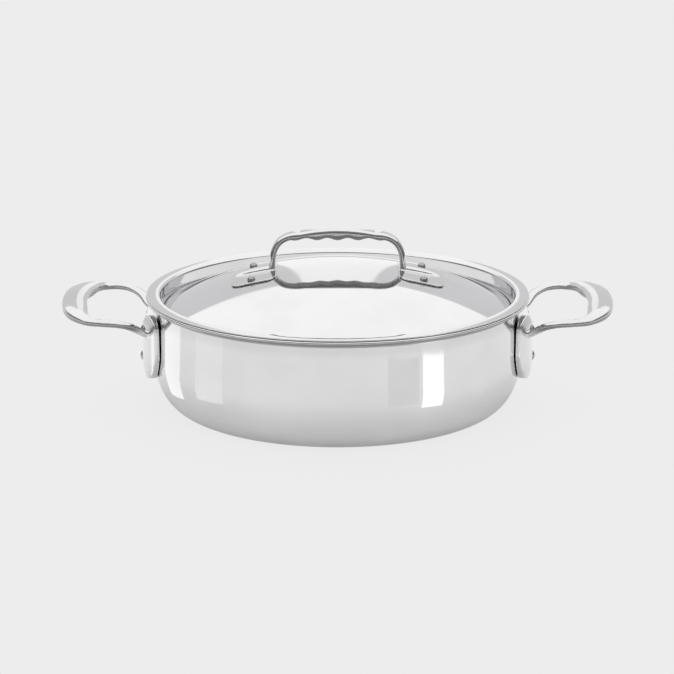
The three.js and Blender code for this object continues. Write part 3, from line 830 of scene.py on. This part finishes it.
class POT_OT_lid_handle(bpy.types.Operator):
    """Casts the lid handle: a scalloped bridge on two ribbed feet"""

    bl_idname = "cooking_pot.lid_handle"
    bl_label = "Lid handle"

    def bridge(self, dome):
        """The legs, the rounded corners and the grip, crowned on top and level below."""
        s = settings().lid_handle
        foot = dome.height(s.half_span, 0.0) + settings().lid.seat_gap + s.foot_thickness / 2
        shoulder = dome.height(0.0, 0.0) + s.rise - s.crown
        below = shoulder - s.corner
        inside = s.half_span - s.corner
        half = []
        for step in range(LEG_STEPS):
            half.append(Vector((-s.half_span, 0, foot + (below - foot) * step / LEG_STEPS)))
        for step in range(CORNER_STEPS):
            t = step / CORNER_STEPS
            half.append(Vector((-s.half_span + s.corner * t * t, 0, below + s.corner * (2 * t - t * t))))
        for step in range(GRIP_STEPS):
            t = step / GRIP_STEPS
            half.append(Vector((-inside + inside * t, 0, shoulder + 2 * s.crown * (t - t * t / 2))))
        path = half + [Vector((0, 0, shoulder + s.crown))] + [Vector((-p.x, 0, p.z)) for p in reversed(half)]
        reach = s.scallop_pitch * s.scallop_count / 2

        def section(t, angle, centre):
            out = abs(centre.x)
            broad = 1 - smoothstep(out, inside, s.half_span)
            wide = s.leg_width + (s.width - s.leg_width) * broad
            thick = s.leg_thickness + (s.thickness - s.leg_thickness) * broad
            fade = 1 - smoothstep(out, reach - s.scallop_pitch / 2, reach)
            wave = s.scallop_depth / 2 * fade * math.cos(2 * math.pi * centre.x / s.scallop_pitch)
            fill = max(0.0, centre.z - shoulder)
            high, flat = boxed(math.cos(angle), s.boxiness), boxed(math.sin(angle), s.boxiness)
            return thick / 2 * high - (wave + fill) * max(0.0, -high), wide / 2 * flat

        return swept_bar(path, Vector((0, 1, 0)), section)

    def rib(self, dome):
        """The boxy rib over the middle of the foot towards +X."""
        s = settings().lid_handle
        lift = settings().lid.seat_gap
        run = s.rib_reach - s.half_span
        path = [dome.point(s.half_span + run * step / RIB_STEPS, 0.0, lift) for step in range(RIB_STEPS + 1)]

        def section(t, angle, centre):
            taper = math.sqrt(1 - RIB_TAPER * t ** 4)
            high = boxed(math.sin(angle), s.boxiness) * s.rib_height / 2 * taper
            across = s.rib_width / 2 * taper * boxed(math.cos(angle), s.boxiness)
            return across, max(high, s.foot_thickness / 4)

        return swept_bar(path, Vector((0, 0, 1)), section)

    def foot(self, dome):
        """The foot pad towards +X, shaped to the dome."""
        s = settings().lid_handle
        gap = settings().lid.seat_gap
        middle = (s.foot_inner_end + s.foot_outer_end) / 2
        half = (s.foot_outer_end - s.foot_inner_end) / 2

        def surface(u, v, outside):
            x = middle - half * math.cos(u * math.pi)
            past = max(0.0, (abs(x - middle) - (half - s.foot_corner)) / s.foot_corner)
            width = s.foot_half_width - s.foot_corner * (1 - math.sqrt(max(0.0, 1 - past ** 2)))
            return dome.point(x, (2 * v - 1) * width, gap + (s.foot_thickness if outside else 0.0))

        return slab(32, 32, surface)

    def execute(self, context):
        dome = Dome()
        foot, rib = self.foot(dome), self.rib(dome)
        shapes = [self.bridge(dome), foot, rib, turned_about_z(foot, math.pi), turned_about_z(rib, math.pi)]
        obj = cast(joined_object("lid_handle_casting", shapes), LID_VOXEL, LID_PASSES)
        # Painted shade: the lid handle's colour is darkened where it faces down above this height, and its
        # roughness is raised there
        satin_and_painted_shade_casting = cast_steel("Satin backed casting", dull_from=0.108)
        finished(obj, "lid", "cast_steel", satin_and_painted_shade_casting, "lid_handle")
        return {"FINISHED"}


class POT_OT_rivets(bpy.types.Operator):
    """Sets the rivets of the side handles and of the lid handle"""

    bl_idname = "cooking_pot.rivets"
    bl_label = "Rivets"

    def heads(self, head, dome):
        """The domed and the flat head, each with half a shank, along +Z and -Z from their seats."""
        s = settings().rivet
        sphere = (head ** 2 + dome ** 2) / (2 * dome)
        centre = dome - sphere
        edge = math.degrees(math.asin(-centre / sphere))
        domed = [(0.0, -RIVET_STUB), (s.shank, -RIVET_STUB), (s.shank, 0.0), (head * 0.97, 0.0)]
        domed += arc(0.0, centre, sphere, edge, 90, 14)
        flat = [(0.0, -s.flat), (head * 0.8, -s.flat)]
        flat += arc(head * 0.8, 0.0, head * 0.2, -90, 0, 6, s.flat)
        flat += [(s.shank, 0.0), (s.shank, RIVET_STUB), (0.0, RIVET_STUB)]
        return [turned_piece(name, profile, RIVET_SEGMENTS, rivet_steel())
                for name, profile in (("domed_head", domed), ("flat_head", flat))]

    def handle_lines(self):
        """Outer seat, inner seat and outward direction of each side handle rivet."""
        s, plate = settings().rivet, Plate()
        spots = [(0.0, s.low_height), (-s.side_offset, s.side_height), (s.side_offset, s.side_height)]
        lines = []
        for turn in (0.0, math.pi):
            for offset, height in spots:
                angle = turn + offset / plate.outer_radius
                axis = Vector((math.cos(angle), math.sin(angle), 0.0))
                up = Vector((0, 0, height))
                outer = plate.outer(offset, height) - s.spot_face + settings().lid.seat_gap
                inner = plate.wall_radius(height - s.head, plate.pot.wall) - s.inner_gap
                lines.append((axis * outer + up, axis * inner + up, axis))
        return lines

    def lid_lines(self):
        """Outer seat, inner seat and outward direction of each lid rivet."""
        s, lid, dome = settings().rivet, settings().lid, Dome()
        top = lid.seat_gap * 2 + settings().lid_handle.foot_thickness - s.lid_spot_face
        lines = []
        for side in (1, -1):
            for way in (1, -1):
                x, y = side * s.lid_reach, way * s.lid_offset
                under = dome.point(x, y, -lid.sheet - lid.seat_gap)
                lines.append((dome.point(x, y, top), under, dome.normal(x, y)))
        return lines

    def rivets(self, name, lines, head, dome):
        """One plain mesh of all rivets on the given lines."""
        domed, flat = self.heads(head, dome)
        points = [line[0] for line in lines] + [line[1] for line in lines]
        obj = new_object(name, points)
        axis = obj.data.attributes.new("axis", "FLOAT_VECTOR", "POINT")
        axis.data.foreach_set("vector", [part for line in lines + lines for part in line[2]])
        outer = obj.data.attributes.new("domed", "BOOLEAN", "POINT")
        outer.data.foreach_set("value", [True] * len(lines) + [False] * len(lines))
        rivet_tree().modify(obj, {"Domed head": domed, "Flat head": flat, "Material": rivet_steel()})
        for spare in (domed, flat):
            bpy.data.objects.remove(spare)
        return obj

    def execute(self, context):
        s = settings().rivet
        pot_rivets = self.rivets("side_handle_rivets", self.handle_lines(), s.head, s.dome)
        lid_rivets = self.rivets("lid_handle_rivets", self.lid_lines(), s.lid_head, s.lid_dome)
        names = [side + "_handle_rivet_" + place
                 for side in ("right", "left") for place in ("low", "front", "back")]
        finished(pot_rivets, "pot", "rivet_steel", rivet_steel(), *names)
        names = ["lid_rivet_" + side + "_" + way for side in ("right", "left") for way in ("front", "back")]
        finished(lid_rivets, "lid", "rivet_steel", rivet_steel(), *names)
        return {"FINISHED"}


class POT_OT_stage(bpy.types.Operator):
    """Sets the floor, the studio light and the camera"""

    bl_idname = "cooking_pot.stage"
    bl_label = "Stage"

    def floor(self, s):
        """A pale table that keeps the pot's soft shadow near it and fades into the background."""
        side, front, back = 1.6, -0.52, 3.0
        corners = [(-side, front, 0), (side, front, 0), (side, back, 0), (-side, back, 0)]
        obj = new_object("floor", corners, [(0, 1, 2, 3)])
        material, shader = new_material("Pale floor")
        place = shader.node("ShaderNodeTexCoord").outputs["Object"]
        away = shader.value("ShaderNodeVectorMath", "Value", {"operation": "LENGTH"}, {0: place})
        seen = shader.value("ShaderNodeLightPath", "Is Camera Ray")
        mirrored = shader.value("ShaderNodeLightPath", "Is Glossy Ray")
        diffuse = shader.node("ShaderNodeBsdfDiffuse", None, {"Color": (*s.floor, 1.0)})
        paper = shader.node("ShaderNodeEmission", None, {"Color": (*s.paper, 1.0)})
        bare = away.between(0.10, 0.30) * 0.06 + 0.94
        mixed = shader.node("ShaderNodeMixShader", None, {
            0: bare * seen + mirrored * 0.35, 1: diffuse.outputs[0], 2: paper.outputs[0]})
        shader.node("ShaderNodeOutputMaterial", None, {"Surface": mixed.outputs[0]})
        obj.data.materials.append(material)

    def glow_card(self, name, corners, height, strength):
        """A level card that only shows as a patch in the polished steel."""
        obj = new_object(name, [(x, y, height) for x, y in corners], [(0, 1, 2, 3)])
        material, shader = new_material(name)
        glow = shader.node("ShaderNodeEmission", None, {"Strength": strength})
        shader.node("ShaderNodeOutputMaterial", None, {"Surface": glow.outputs[0]})
        obj.data.materials.append(material)
        obj.visible_camera = False
        obj.visible_diffuse = False
        obj.visible_shadow = False

    def world(self, context, s):
        """Even paper behind the pot, and in its reflections a grey studio with a bright strip behind it."""
        world = bpy.data.worlds.new("Studio")
        world.use_nodes = True
        context.scene.world = world
        shader = Shader(world.node_tree)
        way = shader.node("ShaderNodeTexCoord").outputs["Generated"]
        across, depth, high = shader.parts(way)
        side = (across * across).between(0.45, 0.8)
        front = (0.0 - depth).between(0.2, 0.7)
        low = (0.0 - high).between(0.0, 0.05)
        grey = shader.blend(side.at_least(front).socket, (0.70, 0.70, 0.71), (0.24, 0.24, 0.245))
        strip = (0.0068 - across * across).between(0.0, 0.0012) * depth.between(0.4, 0.6)
        lit = shader.blend(strip.socket, grey, (1.04, 1.04, 1.04))
        room = shader.blend(low.socket, lit, (0.10, 0.098, 0.095))
        seen = shader.node("ShaderNodeLightPath").outputs["Is Camera Ray"]
        shown = shader.blend(seen, room, tuple(s.paper))
        background = shader.node("ShaderNodeBackground", None, {"Color": shown})
        shader.node("ShaderNodeOutputWorld", None, {"Surface": background.outputs[0]})

    def ceiling_panel(self, context, place, width, tall, radiance):
        """A soft panel of even brightness that faces down."""
        lamp = bpy.data.lights.new("Ceiling panel", "AREA")
        lamp.shape = "RECTANGLE"
        lamp.size = width
        lamp.size_y = tall
        lamp.energy = radiance * math.pi * width * tall
        obj = bpy.data.objects.new("Ceiling panel", lamp)
        obj.location = place
        obj.visible_glossy = False
        context.scene.collection.objects.link(obj)

    def camera(self, context, s):
        """The photograph's camera: the rim's middle lands on its own pixel, with no shift."""
        data = bpy.data.cameras.new("Camera")
        data.sensor_fit = "HORIZONTAL"
        data.sensor_width = 36.0
        data.lens = s.focal_pixels / PHOTO_WIDTH * data.sensor_width
        obj = bpy.data.objects.new("Camera", data)
        lift = math.atan((PHOTO_WIDTH / 2 - s.rim_row) / s.focal_pixels)
        swing = math.atan((s.rim_column - PHOTO_WIDTH / 2) / s.focal_pixels)
        away = Vector((0.0, -math.cos(s.elevation), math.sin(s.elevation)))
        obj.location = Vector((0, 0, s.rim_height)) + away * s.distance
        obj.rotation_euler = (math.pi / 2 - s.elevation - lift, 0.0, swing)
        context.scene.collection.objects.link(obj)
        context.scene.camera = obj

    def execute(self, context):
        s = settings().stage
        self.floor(s)
        self.world(context, s)
        self.ceiling_panel(context, (0.0, 0.35, 1.25), 2.6, 3.2, 0.92)
        ceiling = [(-1.65, -1.25), (-1.65, 1.98), (1.65, 1.98), (1.65, -1.25)]
        self.glow_card("Ceiling glow", ceiling, 1.20, 1.12)
        for name, brightness, corners in PATCHES:
            self.glow_card(name, corners, PATCH_HEIGHT, brightness)
        self.camera(context, s)
        context.scene.view_settings.view_transform = "Standard"
        return {"FINISHED"}


class POT_PT_panel(bpy.types.Panel):
    """Lists the operators of the pot in the order in which they run."""

    bl_idname = "POT_PT_panel"
    bl_label = "Cooking pot"
    bl_space_type = "VIEW_3D"
    bl_region_type = "UI"
    bl_category = "Cooking pot"

    def draw(self, context):
        for operator in OPERATORS:
            self.layout.operator(operator.bl_idname)


OPERATORS = (POT_OT_body, POT_OT_lid, POT_OT_side_handles, POT_OT_lid_handle, POT_OT_rivets, POT_OT_stage)
GROUPS = (PotSizes, LidSizes, SideHandleSizes, LidHandleSizes, RivetSizes, SteelFinish, StageSettings,
          CookingPot)


def register():
    """Registers the settings, the operators and the panel."""
    for kind in GROUPS + OPERATORS + (POT_PT_panel,):
        bpy.utils.register_class(kind)
    bpy.types.Scene.cooking_pot = PointerProperty(type=CookingPot)


def unregister():
    """Takes away what register added."""
    del bpy.types.Scene.cooking_pot
    for kind in reversed(GROUPS + OPERATORS + (POT_PT_panel,)):
        bpy.utils.unregister_class(kind)


def main():
    """Builds every piece and the stage."""
    register()
    bpy.ops.cooking_pot.body()
    bpy.ops.cooking_pot.lid()
    bpy.ops.cooking_pot.side_handles()
    bpy.ops.cooking_pot.lid_handle()
    bpy.ops.cooking_pot.rivets()
    bpy.ops.cooking_pot.stage()


if __name__ == "__main__":
    main()
